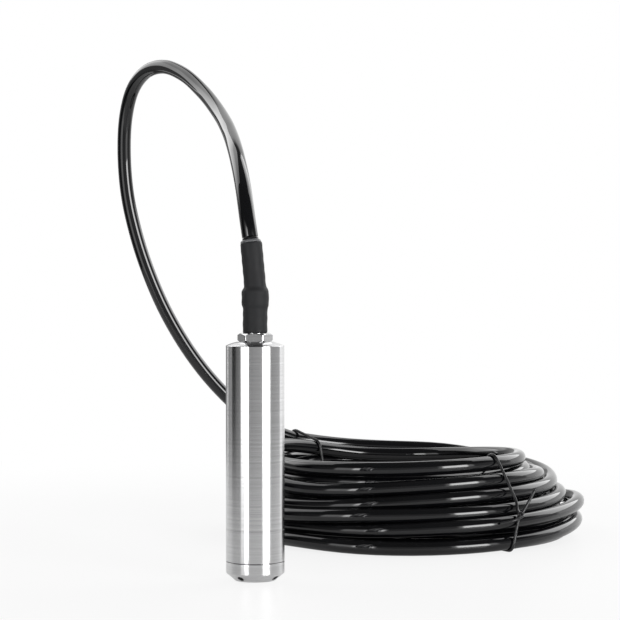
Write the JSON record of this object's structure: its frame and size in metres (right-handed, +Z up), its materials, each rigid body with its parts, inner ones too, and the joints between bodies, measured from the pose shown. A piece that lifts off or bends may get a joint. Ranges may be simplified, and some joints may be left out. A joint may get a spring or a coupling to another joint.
{
  "type": "submersible level transmitter",
  "caption": "Slim stainless steel hydrostatic level probe with a ported nose cap, hexagonal cable gland, shrink-sleeve strain relief and a coiled vented cable.",
  "frame": {"origin": "centre of the probe's flat foot, under the nose cap", "axes": "+Z up along the probe's axis towards the cable gland; the coil lies towards +X and +Y"},
  "size_m": [0.2446, 0.2706, 0.2452],
  "materials": {
    "steel": "fine turned stainless steel",
    "foil": "bright rolled stainless foil",
    "brass": "plated brass",
    "jacket": "glossy extruded cable jacket",
    "shrink_sleeve": "matte shrunk tubing",
    "adhesive": "squeezed-out hot-melt adhesive",
    "seal": "moulded seal rubber",
    "board": "solder-masked glass laminate",
    "component": "moulded component case",
    "holder_plastic": "white moulded plastic",
    "red_insulation": "red wire insulation",
    "black_insulation": "black wire insulation",
    "vent_tubing": "translucent vent tubing",
    "tie": "black plastic-covered tie wire"
  },
  "bodies": {
    "transmitter": {"sensor_lock_ring": "steel", "sensor_diaphragm": "foil", "sensor_header": "steel", "sensor_oring": "seal", "sensor_pin_1": "brass", "sensor_pin_2": "brass", "sensor_pin_3": "brass", "sensor_pin_4": "brass", "sensor_lead_1": "red_insulation", "sensor_lead_2": "black_insulation", "sensor_lead_3": "black_insulation", "sensor_lead_4": "red_insulation", "sensor_housing": "steel", "housing_oring": "seal", "main_tube": "steel", "lower_board_holder": "holder_plastic", "upper_board_holder": "holder_plastic", "circuit_board": "board", "amplifier_chip": "component", "transmitter_chip": "component", "pass_transistor": "component", "surge_suppressor": "component", "filter_capacitor": "steel", "terminal_block": "holder_plastic", "supply_wire": "red_insulation", "signal_wire": "black_insulation", "screen_wire": "steel", "vent_tube": "vent_tubing", "gland_body": "steel", "gland_oring": "seal", "gland_seal": "seal", "gland_washer": "steel", "gland_clamp_screw": "brass", "crimp_ferrule": "brass", "strain_sleeve": "shrink_sleeve", "sleeve_adhesive": "adhesive", "cable_entry": "jacket", "cable_run": "jacket", "cable_coil": "jacket", "coil_tie_right": "tie", "coil_tie_left": "tie", "cable_tail": "jacket", "tail_sleeve": "shrink_sleeve", "tail_core_red": "red_insulation", "tail_core_black": "black_insulation", "tail_ferrule_red": "brass", "tail_ferrule_black": "brass", "tail_vent_tube": "vent_tubing"},
    "nose_cap": {"nose_cap": "steel"}
  },
  "joints": [
    {"name": "nose_cap_turn", "type": "hinge", "parent": "transmitter", "child": "nose_cap", "pos_m": [0, 0, 0], "axis": [0, 0, -1], "range_deg": [0, 960]}
  ]
}
